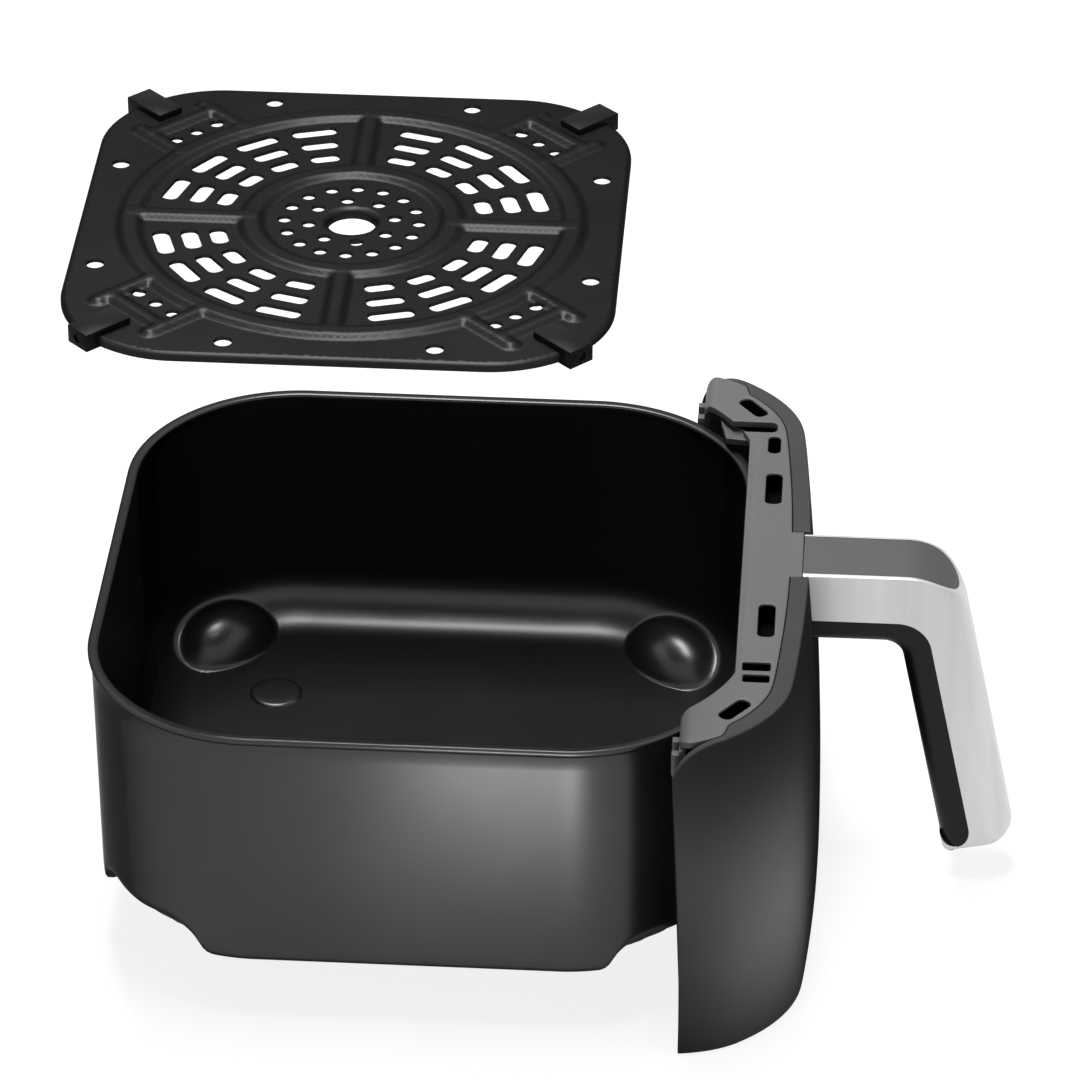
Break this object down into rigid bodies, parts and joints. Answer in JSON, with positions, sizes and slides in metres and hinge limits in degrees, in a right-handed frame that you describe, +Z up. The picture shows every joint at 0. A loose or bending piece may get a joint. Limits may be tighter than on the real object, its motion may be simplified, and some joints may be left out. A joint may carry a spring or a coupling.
{
  "type": "air fryer drawer",
  "caption": "Square coated air fryer pan with a wrap-round front cover, a drop handle and a vented crisper plate with rubber corner bumpers that lifts out.",
  "frame": {"origin": "middle of the pan's flat underside", "axes": "+Z up, -Y towards the handle at the front, +X to the right of someone facing the front"},
  "size_m": [0.268, 0.3538, 0.2774],
  "materials": {
    "coated_pan": "satin non-stick coating, near black",
    "coated_plate": "satin non-stick coating, black",
    "cover_plastic": "fine matt, dark grey",
    "frame_plastic": "matt, mid grey",
    "strip_plastic": "matt, mid grey",
    "grip_plastic": "matt, dark grey",
    "satin_silver": "satin silver",
    "bracket_steel": "plain zinc plate",
    "screw_steel": "plain zinc plate",
    "bumper_rubber": "matt black silicone"
  },
  "bodies": {
    "drawer": {"pan": "coated_pan", "pan_bracket": "bracket_steel", "bracket_rivets": "bracket_steel", "front_cover": "cover_plastic", "front_frame": "frame_plastic", "frame_screws": "screw_steel", "guide_clip_left": "frame_plastic", "guide_clip_right": "frame_plastic", "handle_shell": "satin_silver", "handle_top_strip": "strip_plastic", "handle_grip": "grip_plastic", "handle_core": "bracket_steel", "handle_screws": "screw_steel"},
    "plate": {"crisper_plate": "coated_plate", "bumper_front_left": "bumper_rubber", "bumper_front_right": "bumper_rubber", "bumper_rear_left": "bumper_rubber", "bumper_rear_right": "bumper_rubber"}
  },
  "joints": [
    {"name": "plate_lift", "type": "slide", "parent": "drawer", "child": "plate", "axis": [0, 0.119, 0.9929], "range_m": [-0.2311, 0]}
  ]
}
